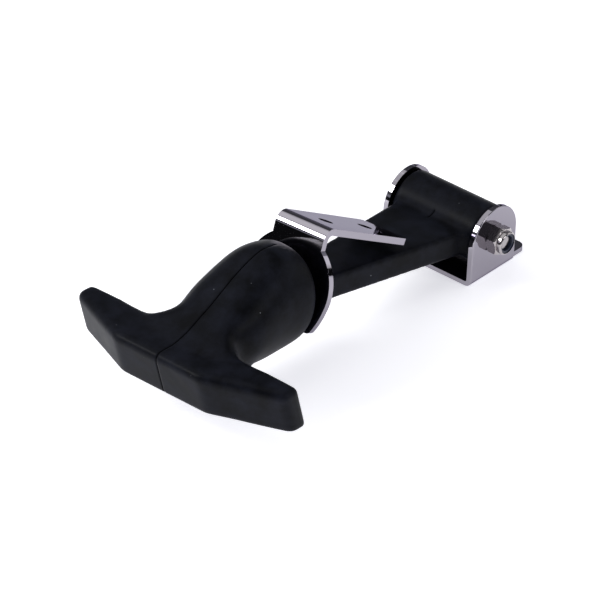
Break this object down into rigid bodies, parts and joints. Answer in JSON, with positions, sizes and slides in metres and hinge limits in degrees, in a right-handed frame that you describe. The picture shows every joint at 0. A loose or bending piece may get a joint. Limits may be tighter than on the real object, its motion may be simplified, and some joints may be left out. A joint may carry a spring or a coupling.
{
  "type": "rubber draw latch",
  "caption": "Draw latch: moulded rubber T handle with a tapered strap on a clevis bracket, and an angle keeper with a forked slot behind its bulb.",
  "frame": {"origin": "centre of the clevis bracket's mounting face, directly below the pivot bolt", "axes": "+X along the strap from the pivot towards the T, +Y along the pivot bolt towards its nut, +Z away from the surface the bracket is bolted to"},
  "size_m": [0.1849, 0.0962, 0.0523],
  "materials": {
    "handle_rubber": "satin moulded rubber, blue-black",
    "steel_sheet": "polished stainless sheet",
    "bolt_steel": "bright stainless",
    "ring_nylon": "dark blue nylon"
  },
  "bodies": {
    "bracket": {"base_bracket": "steel_sheet", "pivot_bolt": "bolt_steel", "lock_nut": "bolt_steel", "lock_ring": "ring_nylon"},
    "handle": {"rubber_handle": "handle_rubber", "keeper_plate": "steel_sheet"}
  },
  "joints": [
    {"name": "strap_pivot", "type": "hinge", "parent": "bracket", "child": "handle", "pos_m": [0, 0, 0.0161], "axis": [0, -1, 0], "range_deg": [-4, 150]}
  ]
}
